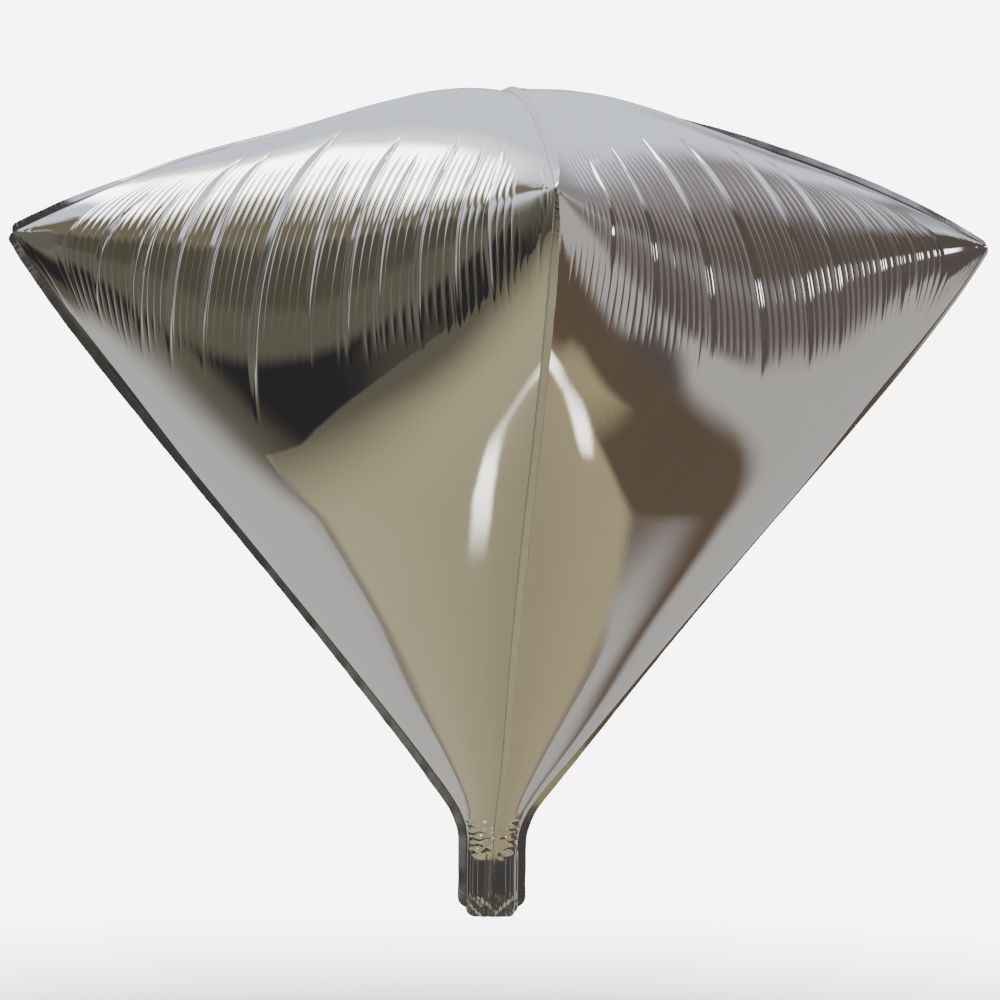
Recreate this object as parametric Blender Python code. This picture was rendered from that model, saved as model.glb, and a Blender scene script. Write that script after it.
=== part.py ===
"""Diamond foil balloon, floating upright with its tail down.

Four kite-shaped panels of silver film are welded edge to edge. Each panel runs in one piece from the
crown's middle, over the wide girdle and down the tapering pavilion to the tail. The four welded seams
stand out as narrow fins in the planes x = 0 and y = 0, and their girdle corners are the balloon's four
points. A flat valve sleeve lies inside the tail and shows at its mouth.

Film is far thinner than a solid can be here, so the panels, fins and sleeve have the wall thicknesses
below, with the outer faces where the real film lies. Units are metres, +Z up, and the origin is the
centre of the balloon's lift, on its axis.
"""

import math

import bmesh
import bpy
from mathutils import Vector

# Envelope, measured from the axis and from the level of the four girdle corners
CORNER_RADIUS = 0.2695
CROWN_RISE = 0.079
CROWN_POWER = 1.75
PAVILION_DROP = 0.325
NECK_RADIUS = 0.0115
GIRDLE_HEIGHT = 0.071

# The belly is the round part of each panel's middle line
BELLY_REACH = 0.177
BELLY_RADIUS = 0.142
BELLY_DEPTH = 0.063
GIRDLE_ROW_ANGLE = math.radians(20.5)
SEAM_FLARE_POWER = 2.15
SEAM_BOW = 0.0062
SEAM_BOW_POWER = 4

# Tail, a flattened tube with round sides
TAIL_LENGTH = 0.050
TAIL_WIDTH = 0.029
TAIL_DEPTH = 0.0115
FUNNEL_BLEND = 0.011
ROUND_NECK_RADIUS = 0.022
ROUND_CONE_RADIUS = 0.045

# Film walls, welded fins and the gaps that keep the solids apart
WALL = 0.0018
FIN_THICKNESS = 0.0010
FIN_WIDTH = 0.0045
FIN_ROOT = 0.0010
FIN_NOTCH = 0.0014
FIN_NOTCH_FLOOR = 0.0010
FIN_END_RADIUS = 0.0040
GAP = 0.0003

# Valve sleeve
SLEEVE_WIDTH = 0.022
SLEEVE_WALL = 0.0008
SLEEVE_LENGTH = 0.046
SLEEVE_INSET = 0.0010

# Grid of one panel: rows along it, columns from seam to seam
PAVILION_ROWS = 18
CROWN_ROWS = 11
TAIL_ROWS = 5
COLUMNS = 14
SLEEVE_COLUMNS = 6

SIN_45 = math.sqrt(0.5)


def clear_scene():
    for obj in list(bpy.data.objects):
        bpy.data.objects.remove(obj, do_unlink=True)


def film(name, color, roughness, metallic, alpha=1.0):
    """A Principled material for one kind of film."""
    material = bpy.data.materials.new(name)
    material.use_nodes = True
    shader = material.node_tree.nodes["Principled BSDF"]
    shader.inputs["Base Color"].default_value = (*color, 1.0)
    shader.inputs["Roughness"].default_value = roughness
    shader.inputs["Metallic"].default_value = metallic
    shader.inputs["Alpha"].default_value = alpha
    return material


def smooth_step(value):
    value = min(1.0, max(0.0, value))
    return value * value * (3.0 - 2.0 * value)


def smooth_max(a, b, blend):
    """The larger of a and b, rounded where they are within blend of each other."""
    return max(a, b) + max(blend - abs(a - b), 0.0) ** 2 / (4.0 * blend)


class Profile:
    """The panel's two guide lines: down its middle, and along its seam. Heights are from the girdle."""

    def __init__(self, inset):
        self.inset = inset
        self.radius = BELLY_RADIUS - inset
        self.centre = (BELLY_REACH - BELLY_RADIUS, -BELLY_DEPTH)
        self.apex = CROWN_RISE - inset
        self.foot = (NECK_RADIUS - inset, -PAVILION_DROP)
        self.lower_turn = self.tangent_angle(self.foot, -1)
        self.upper_turn = self.tangent_angle((0.0, self.apex), 1)

    def tangent_angle(self, point, side):
        """Where on the belly's circle a straight line from point touches it, as an angle above level."""
        dx, dz = point[0] - self.centre[0], point[1] - self.centre[1]
        away = math.hypot(dx, dz)
        return math.atan2(dz, dx) - side * math.acos(self.radius / away)

    def on_belly(self, angle):
        return (
            self.centre[0] + self.radius * math.cos(angle),
            self.centre[1] + self.radius * math.sin(angle),
        )

    def cone_radius(self, z):
        """Radius of the straight cone under the belly, also past its foot."""
        touch = self.on_belly(self.lower_turn)
        slope = (touch[0] - self.foot[0]) / (touch[1] - self.foot[1])
        return self.foot[0] + (z - self.foot[1]) * slope

    def middle(self, start, line_end, turn_from, turn_to, share):
        """A point at that share of a straight line followed by an arc of the belly."""
        straight = math.dist(start, line_end)
        arc = self.radius * abs(turn_to - turn_from)
        along = share * (straight + arc)
        if along <= straight:
            t = along / straight
            return tuple(a + (b - a) * t for a, b in zip(start, line_end))
        turned = (along - straight) / arc
        return self.on_belly(turn_from + (turn_to - turn_from) * turned)

    def pavilion_middle(self, share):
        touch = self.on_belly(self.lower_turn)
        return self.middle(self.foot, touch, self.lower_turn, GIRDLE_ROW_ANGLE, share)

    def crown_middle(self, share):
        touch = self.on_belly(self.upper_turn)
        top = (0.0, self.apex)
        return self.middle(top, touch, self.upper_turn, GIRDLE_ROW_ANGLE, 1.0 - share)


OUTER = Profile(0.0)
INNER = Profile(WALL)


def seam_radius(z):
    """Radius of the outer seam line at a height between the neck and the girdle corner."""
    share = 1.0 + z / PAVILION_DROP
    flare = (CORNER_RADIUS - OUTER.cone_radius(0.0)) * share**SEAM_FLARE_POWER
    peak = SEAM_BOW_POWER / (SEAM_BOW_POWER + 1.0)
    bow = SEAM_BOW * share**SEAM_BOW_POWER * (1.0 - share) / (peak**SEAM_BOW_POWER * (1.0 - peak))
    return OUTER.cone_radius(z) + flare + bow


def seam_line(row):
    """Outer seam point of a row: -1 to 0 runs from neck to corner, 0 to 1 from corner to apex."""
    if row <= 0.0:
        z = PAVILION_DROP * row
        return seam_radius(z), z
    radius = CORNER_RADIUS * (1.0 - row)
    return radius, CROWN_RISE * (1.0 - (radius / CORNER_RADIUS) ** CROWN_POWER)


def across(middle, seam, share, roundness):
    """A point of a panel in its own plane: x out along its middle, y towards a seam, z up."""
    reach = seam[0] * SIN_45
    turn = math.radians(45.0) * share
    arc = math.sin(turn) / SIN_45
    bulge = (1.0 - math.cos(turn)) / (1.0 - SIN_45)
    sideways = arc * roundness + share * (1.0 - roundness)
    hollow = bulge * roundness + share**2 * (1.0 - roundness)
    x = middle[0] + (reach - middle[0]) * hollow
    z = middle[1] + (seam[1] - middle[1]) * share**2
    return x, reach * sideways, z


def stadium_quarter(half_width, half_depth, share):
    """A quarter of a flattened tube, from its front centre to its right edge, by length."""
    flat = half_width - half_depth
    arc = half_depth * math.pi / 2.0
    along = share * (flat + arc)
    if along <= flat:
        return along, -half_depth
    turn = (along - flat) / half_depth
    return flat + half_depth * math.sin(turn), -half_depth * math.cos(turn)


def tail_section(profile, z, share):
    """The flattened tube that the cone runs into, at one height."""
    cone = profile.cone_radius(z)
    half_width = smooth_max(cone, TAIL_WIDTH / 2.0 - profile.inset, FUNNEL_BLEND)
    half_depth = smooth_max(cone, TAIL_DEPTH / 2.0 - profile.inset, FUNNEL_BLEND)
    return stadium_quarter(half_width, half_depth, (share + 1.0) / 2.0)


def inner_seam(row):
    """The seam line moved in so that the slanting wall there keeps its thickness."""
    step = 1e-4
    here = seam_line(row)
    low, high = seam_line(max(-1.0, row - step)), seam_line(min(1.0, row + step))
    along = Vector((high[0] - low[0], high[1] - low[1])).normalized()
    inward = Vector((-along.y, along.x))
    middle = middle_line(OUTER, row)
    edge = Vector(across(middle, here, 1.0, roundness(row)))
    near = Vector(across(middle, here, 1.0 - 0.02, roundness(row)))
    tangent = Vector((along.x * SIN_45, along.x * SIN_45, along.y))
    normal = (near - edge).cross(tangent).normalized()
    facing = abs(normal.dot(Vector((inward.x * SIN_45, inward.x * SIN_45, inward.y))))
    depth = WALL / max(facing, 0.3)
    return here[0] + inward.x * depth, here[1] + inward.y * depth


def middle_line(profile, row):
    if row <= 0.0:
        return profile.pavilion_middle(1.0 + row)
    return profile.crown_middle(row)


def roundness(row):
    """1 where the section is a circle, down the cone, and 0 from the girdle up."""
    return smooth_step(-row / 0.6)


def panel_point(profile, row, share):
    """A point of the front right panel, at a row and a share of the way from middle to seam."""
    seam = seam_line(row) if profile is OUTER else inner_seam(row)
    x, y, z = across(middle_line(profile, row), seam, share, roundness(row))
    point = Vector(((x + y) * SIN_45, (y - x) * SIN_45, z))
    cone = profile.cone_radius(z)
    necking = (ROUND_CONE_RADIUS - cone) / (ROUND_CONE_RADIUS - ROUND_NECK_RADIUS)
    necked = Vector((*tail_section(profile, z, share), z))
    return point.lerp(necked, smooth_step(necking))


def tail_point(profile, drop, share):
    """A point of the tail, that far below the neck."""
    z = -PAVILION_DROP - drop
    return Vector((*tail_section(profile, z, share), z))


def panel_grid(profile):
    """Rows of points from the tail's mouth up to the apex."""
    shares = [2.0 * i / COLUMNS - 1.0 for i in range(COLUMNS + 1)]
    rows = []
    for i in range(TAIL_ROWS):
        drop = TAIL_LENGTH * (1.0 - i / TAIL_ROWS)
        rows.append([tail_point(profile, drop, s) for s in shares])
    for i in range(PAVILION_ROWS):
        rows.append([panel_point(profile, i / PAVILION_ROWS - 1.0, s) for s in shares])
    for i in range(CROWN_ROWS):
        rows.append([panel_point(profile, i / CROWN_ROWS, s) for s in shares])
    return rows


def add_grid(mesh, rows, apex):
    """Adds a grid of quads closed by a fan at the apex, and returns its border from corner to corner."""
    verts = [[mesh.verts.new(p) for p in row] for row in rows]
    tip = mesh.verts.new(apex)
    for low, high in zip(verts, verts[1:]):
        for i in range(len(low) - 1):
            mesh.faces.new((low[i], low[i + 1], high[i + 1], high[i]))
    for i in range(len(verts[-1]) - 1):
        mesh.faces.new((verts[-1][i], verts[-1][i + 1], tip))
    left = [row[0] for row in verts[1:]]
    right = [row[-1] for row in verts[1:]]
    return verts[0] + right + [tip] + left[::-1]


def finish(mesh, name, material, sharp=40.0):
    """Turns a bmesh into a named object with outward faces and smooth round faces."""
    bmesh.ops.recalc_face_normals(mesh, faces=mesh.faces)
    data = bpy.data.meshes.new(name)
    mesh.to_mesh(data)
    mesh.free()
    data.materials.append(material)
    data.shade_smooth()
    data.set_sharp_from_angle(angle=math.radians(sharp))
    obj = bpy.data.objects.new(name, data)
    bpy.context.scene.collection.objects.link(obj)
    obj.location = (0.0, 0.0, GIRDLE_HEIGHT)
    return obj


def make_panel(name, mirror, material):
    """One film panel with its quarter of the tail, a hair clear of the fins on both sides."""
    stand_off = FIN_THICKNESS / 2.0 + GAP
    mesh = bmesh.new()
    borders = []
    for profile in (OUTER, INNER):
        top = Vector((0.0, 0.0, profile.apex))
        borders.append(add_grid(mesh, panel_grid(profile), top))
    outer, inner = borders
    for i in range(len(outer)):
        j = (i + 1) % len(outer)
        mesh.faces.new((outer[i], outer[j], inner[j], inner[i]))
    for vert in mesh.verts:
        x, y, z = vert.co
        vert.co = ((x + stand_off) * mirror[0], (y - stand_off) * mirror[1], z)
    return finish(mesh, name, material)


def outward(a, b):
    """The outward unit normal of a seam stretch that runs from a up to b."""
    d = Vector((b[0] - a[0], b[1] - a[1])).normalized()
    return Vector((d.y, -d.x))


def seam_path(share):
    """Points (distance from the axis, height) of a seam, from the tail's mouth to near the apex."""
    def flat(point):
        return Vector((math.hypot(point.x, point.y), point.z))

    tail = [flat(tail_point(OUTER, TAIL_LENGTH * (1.0 - i / TAIL_ROWS), share)) for i in range(TAIL_ROWS)]
    pavilion = [flat(panel_point(OUTER, i / PAVILION_ROWS - 1.0, share)) for i in range(PAVILION_ROWS + 1)]
    crown = [flat(panel_point(OUTER, i / CROWN_ROWS, share)) for i in range(1, CROWN_ROWS)]
    end = Vector((FIN_THICKNESS / 2.0 + 1.5 * GAP, CROWN_RISE))
    return tail + pavilion, [pavilion[-1]] + crown + [end]


def ribs(path):
    """Root and edge points of a fin at each point of a seam stretch."""
    made = []
    for i, point in enumerate(path):
        sides = []
        if i > 0:
            sides.append(outward(path[i - 1], point))
        if i < len(path) - 1:
            sides.append(outward(point, path[i + 1]))
        normal = sum(sides, Vector((0.0, 0.0))).normalized()
        stretch = 1.0 / max(normal.dot(sides[0]), 0.5)
        made.append([point - normal * FIN_ROOT * stretch, point + normal * FIN_WIDTH * stretch])
    return made


def make_seam(name, share, turn, material, round_foot):
    """One welded seam: a thin fin along the seam line, notched where it turns the girdle corner."""
    low, high = seam_path(share)
    below, above = ribs(low), ribs(high)
    corner = low[-1]
    n_low, n_high = outward(low[-2], low[-1]), outward(high[0], high[1])
    middle = (n_low + n_high).normalized()
    root = corner - middle * FIN_ROOT / middle.dot(n_low)
    reach = FIN_WIDTH * math.tan(n_low.angle(n_high) / 2.0) - FIN_NOTCH
    along_low = (low[-1] - low[-2]).normalized()
    along_high = (high[0] - high[1]).normalized()
    below[-1] = [root, corner + n_low * FIN_WIDTH + along_low * reach]
    notch = [root, corner + middle * FIN_NOTCH_FLOOR]
    above[0] = [root, corner + n_high * FIN_WIDTH + along_high * reach]
    foot, edge = below[0]
    below[0] = [foot, edge + (foot - edge) * (FIN_END_RADIUS / FIN_WIDTH if round_foot else 0.0)]
    if round_foot:
        steps = 4
        rounded = []
        for i in range(1, steps + 1):
            turned = math.pi / 2.0 * i / steps
            rise = Vector((0.0, FIN_END_RADIUS * (1.0 - math.cos(turned))))
            out = (edge - foot).normalized() * FIN_END_RADIUS * math.sin(turned)
            rounded.append([foot + rise, below[0][1] + rise + out])
        below[1:1] = rounded
    mesh = bmesh.new()
    half = FIN_THICKNESS / 2.0
    chains = [[mesh.verts.new((p.x, -half, p.y)) for p in side] for side in zip(*(below + [notch] + above))]
    roots, edges = chains
    corner_at = len(below) - 1
    bmesh.ops.remove_doubles(mesh, verts=roots[corner_at : corner_at + 3], dist=1e-7)
    kept = [v if v.is_valid else None for v in roots]
    shared = next(v for v in kept[corner_at : corner_at + 3] if v is not None)
    kept[corner_at : corner_at + 3] = [shared] * 3
    for i in range(len(edges) - 1):
        loop = [kept[i], kept[i + 1], edges[i + 1], edges[i]]
        mesh.faces.new(list(dict.fromkeys(loop)))
    grown = bmesh.ops.extrude_face_region(mesh, geom=mesh.faces[:])
    moved = [v for v in grown["geom"] if isinstance(v, bmesh.types.BMVert)]
    bmesh.ops.translate(mesh, verts=moved, vec=(0.0, FIN_THICKNESS, 0.0))
    obj = finish(mesh, name, material)
    obj.rotation_euler = (0.0, 0.0, math.radians(turn))
    return obj


def sleeve_ring(inset):
    """The valve sleeve's section as a closed ring of (x, y)."""
    half_width = SLEEVE_WIDTH / 2.0 - inset
    half_depth = TAIL_DEPTH / 2.0 + FIN_THICKNESS / 2.0 - WALL - inset
    steps = 2 * SLEEVE_COLUMNS
    quarter = [stadium_quarter(half_width, half_depth, i / steps) for i in range(steps + 1)]
    right = quarter + [(x, -y) for x, y in quarter[-2::-1]]
    return right + [(-x, y) for x, y in right[-2:0:-1]]


def make_sleeve(name, material):
    """The flat tube of clear film that shuts on itself after filling."""
    bottom = -PAVILION_DROP - TAIL_LENGTH + SLEEVE_INSET
    mesh = bmesh.new()
    loops = []
    for inset in (0.0, SLEEVE_WALL):
        for z in (bottom, bottom + SLEEVE_LENGTH):
            loops.append([mesh.verts.new((x, y, z)) for x, y in sleeve_ring(inset)])
    outer_low, outer_high, inner_low, inner_high = loops
    pairs = ((outer_low, outer_high), (outer_high, inner_high), (inner_high, inner_low), (inner_low, outer_low))
    for a, b in pairs:
        for i in range(len(a)):
            j = (i + 1) % len(a)
            mesh.faces.new((a[i], a[j], b[j], b[i]))
    return finish(mesh, name, material)


def build():
    clear_scene()
    silver = film("silver film", (0.80, 0.80, 0.79), 0.08, 1.0)
    weld = film("welded silver film", (0.46, 0.46, 0.45), 0.22, 1.0)
    clear = film("clear valve film", (0.82, 0.84, 0.85), 0.25, 0.0, alpha=0.5)
    make_panel("panel_front_right", (1, 1), silver)
    make_panel("panel_front_left", (-1, 1), silver)
    make_panel("panel_back_right", (1, -1), silver)
    make_panel("panel_back_left", (-1, -1), silver)
    make_seam("seam_right", 1.0, 0.0, weld, round_foot=True)
    make_seam("seam_left", 1.0, 180.0, weld, round_foot=True)
    make_seam("seam_front", -1.0, -90.0, weld, round_foot=False)
    make_seam("seam_back", -1.0, 90.0, weld, round_foot=False)
    make_sleeve("valve_sleeve", clear)


build()
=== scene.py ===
import math

import bpy
import numpy as np
from mathutils import Matrix, Vector


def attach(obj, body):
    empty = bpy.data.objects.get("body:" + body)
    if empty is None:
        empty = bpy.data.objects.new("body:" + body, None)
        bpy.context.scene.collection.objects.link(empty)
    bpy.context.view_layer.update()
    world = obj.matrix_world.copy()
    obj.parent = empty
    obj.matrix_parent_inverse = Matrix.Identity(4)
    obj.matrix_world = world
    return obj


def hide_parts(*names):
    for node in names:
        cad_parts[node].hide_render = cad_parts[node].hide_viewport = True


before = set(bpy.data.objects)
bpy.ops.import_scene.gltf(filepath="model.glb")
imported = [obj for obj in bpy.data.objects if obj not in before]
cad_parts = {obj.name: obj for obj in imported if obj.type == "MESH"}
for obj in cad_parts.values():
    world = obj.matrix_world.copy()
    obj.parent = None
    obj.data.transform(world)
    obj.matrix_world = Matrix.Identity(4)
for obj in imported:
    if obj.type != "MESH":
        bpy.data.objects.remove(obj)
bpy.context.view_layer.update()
bpy.ops.object.select_all(action="DESELECT")


# Studio: the camera of the photograph, level with the balloon and turned a little to its left, with a
# pale floor well under the floating balloon, a white surround, and the soft lights and dark flags that
# a photographer sets round a mirror-like object so that its shape reads.
GIRDLE_HEIGHT = 0.071
CAMERA_DISTANCE = 1.2592
CAMERA_DROP = 0.110
CAMERA_TURN = 0.067
CAMERA_PITCH = -0.0265
CAMERA_ROLL = 0.012
CAMERA_LENS = 81.7
FLOOR_HEIGHT = -0.75
FLOOR_RADIUS = 2.4

turned = Matrix.Rotation(-CAMERA_TURN, 3, "Z")
ahead = turned @ Vector((0.0, math.cos(CAMERA_PITCH), math.sin(CAMERA_PITCH)))
sideways = turned @ Vector((1.0, 0.0, 0.0))
upward = sideways.cross(ahead)
right = sideways * math.cos(CAMERA_ROLL) + upward * math.sin(CAMERA_ROLL)
above = upward * math.cos(CAMERA_ROLL) - sideways * math.sin(CAMERA_ROLL)
lens = bpy.data.cameras.new("camera")
lens.lens = CAMERA_LENS
lens.sensor_width = 36.0
lens.clip_start = 0.01
camera = bpy.data.objects.new("camera", lens)
bpy.context.scene.collection.objects.link(camera)
camera.matrix_world = Matrix.Translation(
    turned @ Vector((0.0, -CAMERA_DISTANCE, GIRDLE_HEIGHT - CAMERA_DROP))
) @ Matrix((right, above, -ahead)).transposed().to_4x4()
bpy.context.scene.camera = camera


class Wire:
    """A shader value that can be used in plain arithmetic."""

    def __init__(self, tree, socket):
        self.tree = tree
        self.socket = socket

    def node(self, kind, settings=None, **inputs):
        """Adds a node, its settings first and then its inputs, and returns it."""
        made = self.tree.nodes.new(kind)
        for name, value in (settings or {}).items():
            setattr(made, name, value)
        for name, value in inputs.items():
            slot = made.inputs[int(name[1:]) if name[0] == "_" else name.replace("_", " ")]
            if isinstance(value, Wire):
                self.tree.links.new(value.socket, slot)
            else:
                slot.default_value = value
        return made

    def maths(self, operation, *values):
        inputs = {f"_{i}": value for i, value in enumerate(values)}
        made = self.node("ShaderNodeMath", {"operation": operation}, **inputs)
        return Wire(self.tree, made.outputs[0])

    def __add__(self, other):
        return self.maths("ADD", self, other)

    def __sub__(self, other):
        return self.maths("SUBTRACT", self, other)

    def __rsub__(self, other):
        return self.maths("SUBTRACT", other, self)

    def __mul__(self, other):
        return self.maths("MULTIPLY", self, other)

    def between(self, low, high):
        """0 below low, 1 above high and a smooth rise from one to the other."""
        made = self.node(
            "ShaderNodeMapRange",
            {"interpolation_type": "SMOOTHSTEP"},
            Value=self, From_Min=low, From_Max=high,
        )
        return Wire(self.tree, made.outputs[0])

    def past(self, edge, soft):
        """0 below the edge and 1 above it, with a soft change from one to the other."""
        return self.between(edge - soft, edge + soft)

    def mix(self, first, second):
        """A colour that goes from first to second as this value goes from 0 to 1."""
        made = self.node(
            "ShaderNodeMix", {"data_type": "RGBA"}, _0=self, _6=first, _7=second
        )
        return Wire(self.tree, made.outputs[2])

    def parts(self):
        """The x, y and z of a vector."""
        made = self.node("ShaderNodeSeparateXYZ", _0=self)
        return [Wire(self.tree, made.outputs[i]) for i in range(3)]


# Floor: pale all over where the camera sees it. In the balloon's film it is a warm mat with soft straight
# edges, so that the pavilion's form reads, with a painted shadow along its far edge: a darker strip, as
# of the shade under a skirting. Its edges are given to the camera's left and right, and as beyond the
# balloon or nearer than it. The left edge slants outwards towards the camera, and the right edge steps
# in from MAT_FAR_RIGHT to MAT_RIGHT beyond MAT_RIGHT_START.
MAT_LEFT = -1.38
MAT_SLANT = 0.9
MAT_SLANT_START = -0.15
MAT_BACK = 0.17
MAT_RIGHT = 0.50
MAT_RIGHT_START = -0.31
MAT_FAR_RIGHT = 0.90
MAT_NEAR = -1.05
MAT_LEFT_FADE = (-1.60, -0.35)
MAT_RIGHT_FADE = (-0.12, 0.16)
MAT_LEFT_COLOUR = (0.12, 0.108, 0.066, 1.0)
MAT_COLOUR = (0.50, 0.435, 0.24, 1.0)
MAT_RIGHT_COLOUR = (0.43, 0.355, 0.18, 1.0)
# The colour of the painted shadow strip along the mat's far edge.
MAT_BACK_SHADOW_COLOUR = (0.24, 0.20, 0.13, 1.0)
FLOOR_COLOUR = (0.74, 0.73, 0.71, 1.0)
FLOOR_FADE = (1.3, 2.3)

bpy.ops.mesh.primitive_circle_add(
    vertices=96, radius=FLOOR_RADIUS, fill_type="TRIFAN", location=(0.0, 0.0, FLOOR_HEIGHT)
)
floor = bpy.context.object
floor.name = "studio_floor"
paint = bpy.data.materials.new("pale floor")
paint.use_nodes = True
tree = paint.node_tree
surface = tree.nodes["Principled BSDF"]
surface.inputs["Roughness"].default_value = 0.6
place = Wire(tree, tree.nodes.new("ShaderNodeTexCoord").outputs["Object"])
seen = Wire(tree, tree.nodes.new("ShaderNodeLightPath").outputs["Is Camera Ray"])
across, along, _ = place.parts()
aside = across * math.cos(CAMERA_TURN) - along * math.sin(CAMERA_TURN)
beyond = across * math.sin(CAMERA_TURN) + along * math.cos(CAMERA_TURN)
length = place.node("ShaderNodeVectorMath", {"operation": "LENGTH"}, _0=place)
distance = Wire(tree, length.outputs["Value"])
tone = aside.between(*MAT_RIGHT_FADE).mix(MAT_COLOUR, MAT_RIGHT_COLOUR)
tone = aside.between(*MAT_LEFT_FADE).mix(MAT_LEFT_COLOUR, tone)
# Painted shadow: the mat's far edge is darkened to the colour of the shade under a skirting.
tone = beyond.past(MAT_BACK - 0.05, 0.03).mix(tone, MAT_BACK_SHADOW_COLOUR)
tree.links.new(seen.mix(tone, FLOOR_COLOUR).socket, surface.inputs["Base Color"])
past_right = aside.past(MAT_RIGHT, 0.03) * beyond.past(MAT_RIGHT_START, 0.03)
past_right = past_right.maths("MAXIMUM", past_right, aside.past(MAT_FAR_RIGHT, 0.15))
nearer = MAT_SLANT_START - beyond
slanting = nearer.maths("MAXIMUM", nearer, 0.0) * MAT_SLANT + aside
on_mat = beyond.past(MAT_NEAR, 0.05) * slanting.past(MAT_LEFT, 0.02)
on_mat = on_mat * (1.0 - beyond.past(MAT_BACK, 0.01)) * (1.0 - past_right)
from_below = Wire(tree, tree.nodes.new("ShaderNodeNewGeometry").outputs["Backfacing"])
solid = seen * (1.0 - distance.between(*FLOOR_FADE)) * (1.0 - from_below) + (1.0 - seen) * on_mat
clear = tree.nodes.new("ShaderNodeBsdfTransparent")
faded = solid.node("ShaderNodeMixShader", _0=solid)
tree.links.new(clear.outputs[0], faded.inputs[1])
tree.links.new(surface.outputs[0], faded.inputs[2])
tree.links.new(faded.outputs[0], tree.nodes["Material Output"].inputs["Surface"])
floor.data.materials.append(paint)


# Surround: a pale wall behind the balloon, a bright ceiling, and darker sides. Bearings are in degrees
# from the camera's line of sight, clockwise seen from above, and elevations in degrees above level. A
# block is a row of its left, right, low and high edges, how soft its sides and its levels are, how far
# it leans below level, and its colour.
WALL_LEFT_COLOUR = (0.585, 0.57, 0.55, 1.0)
WALL_RIGHT_COLOUR = (0.52, 0.495, 0.475, 1.0)
CEILING_COLOUR = (0.95, 1.0, 1.15, 1.0)
BACKDROP_COLOUR = (7.0, 7.0, 7.0, 1.0)

world = bpy.data.worlds.new("studio")
bpy.context.scene.world = world
world.use_nodes = True
tree = world.node_tree
tree.nodes.clear()
direction = Wire(tree, tree.nodes.new("ShaderNodeTexCoord").outputs["Generated"])
east, north, height = direction.parts()
bearing = east.maths("ARCTAN2", east, north) * math.degrees(1.0) - math.degrees(CAMERA_TURN)
elevation = height.maths("ARCSINE", height) * math.degrees(1.0)


def block(left, right, low, high, side_soft, level_soft, lean):
    """1 inside a block of the surround, between two bearings and two elevations, and 0 outside it."""
    leaning = bearing - elevation.maths("MINIMUM", elevation, 0.0) * lean
    inside = leaning.past(left, side_soft) * (1.0 - leaning.past(right, side_soft))
    inside = inside * elevation.past(low, level_soft)
    return inside * (1.0 - elevation.past(high, level_soft))


room = bearing.between(-15.0, 25.0).mix(WALL_LEFT_COLOUR, WALL_RIGHT_COLOUR)
room = elevation.between(8.0, 22.0).mix(room, CEILING_COLOUR)
for *edges, colour in (
    (-180.0, -112.0, -90.0, 40.0, 8.0, 6.0, 0.0, (0.150, 0.142, 0.125)),
    (-180.0, -140.0, -90.0, 40.0, 8.0, 6.0, 0.0, (0.066, 0.062, 0.062)),
    (126.0, 190.0, -90.0, 40.0, 8.0, 6.0, 0.0, (0.066, 0.062, 0.062)),
    (-82.0, -25.0, 36.0, 50.0, 5.0, 2.5, 0.0, (1.7, 1.65, 1.55)),
    (-67.0, -33.0, 39.5, 49.0, 4.0, 2.5, 0.0, (8.0, 8.0, 8.0)),
    (-118.0, -34.0, 29.0, 35.5, 3.0, 1.5, 0.0, (0.21, 0.18, 0.115)),
    (-118.0, -76.0, 30.0, 54.0, 3.0, 2.0, 0.0, (0.19, 0.165, 0.105)),
    (-118.0, -67.0, -60.0, 30.0, 12.0, 1.5, 0.0, (0.125, 0.117, 0.087)),
    (-118.0, -75.0, 12.0, 30.0, 5.0, 3.0, 0.0, (0.094, 0.087, 0.062)),
    (-116.0, -83.0, -60.0, -10.0, 6.0, 5.0, 0.0, (0.082, 0.075, 0.058)),
    (-103.0, -83.0, -30.0, -3.0, 4.0, 3.0, 0.25, (0.029, 0.027, 0.030)),
    (12.0, 60.0, 14.0, 26.0, 6.0, 4.0, 0.0, (0.30, 0.27, 0.27)),
    (32.0, 60.0, 19.0, 46.0, 6.0, 6.0, 0.0, (0.32, 0.29, 0.29)),
    (46.0, 130.0, 0.0, 16.0, 10.0, 6.0, 0.0, (0.205, 0.177, 0.165)),
    (52.0, 130.0, 15.0, 44.0, 10.0, 7.0, 0.0, (0.128, 0.103, 0.088)),
    (76.0, 130.0, 15.0, 54.0, 8.0, 6.0, 0.0, (0.110, 0.088, 0.072)),
    (76.0, 130.0, -2.0, 19.0, 3.0, 3.0, 0.0, (0.120, 0.097, 0.090)),
    (87.0, 130.0, -34.0, 9.0, 4.0, 4.0, 0.0, (0.105, 0.088, 0.082)),
    (112.0, 240.0, -62.0, -19.0, 9.0, 7.0, 2.0, (0.130, 0.092, 0.066)),
    (-33.0, 7.5, -64.0, -42.0, 6.0, 6.0, -1.17, (0.52, 0.495, 0.475)),
    (97.0, 108.0, 17.0, 24.0, 2.0, 1.5, 0.0, (5.0, 5.0, 5.0)),
):
    room = block(*edges).mix(room, (*colour, 1.0))
seen = Wire(tree, tree.nodes.new("ShaderNodeLightPath").outputs["Is Camera Ray"])
shown = seen.mix(room, BACKDROP_COLOUR)
sky = shown.node("ShaderNodeBackground", Color=shown, Strength=1.0)
ending = tree.nodes.new("ShaderNodeOutputWorld")
tree.links.new(sky.outputs[0], ending.inputs["Surface"])


# Lights: a softbox overhead, and two low light strips on the floor, whose reflections are the two bright
# streaks beside the front seam. A strip is a row of pairs of edge points, with soft edges and ends.
softbox = bpy.data.lights.new("overhead_softbox", "AREA")
softbox.shape = "RECTANGLE"
softbox.size, softbox.size_y = 1.6, 1.2
softbox.energy = 26.0
lamp = bpy.data.objects.new("overhead_softbox", softbox)
bpy.context.scene.collection.objects.link(lamp)
lamp.location = (0.2, 0.5, 1.9)
lamp.rotation_euler = (math.radians(-14.0), math.radians(6.0), 0.0)

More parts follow.
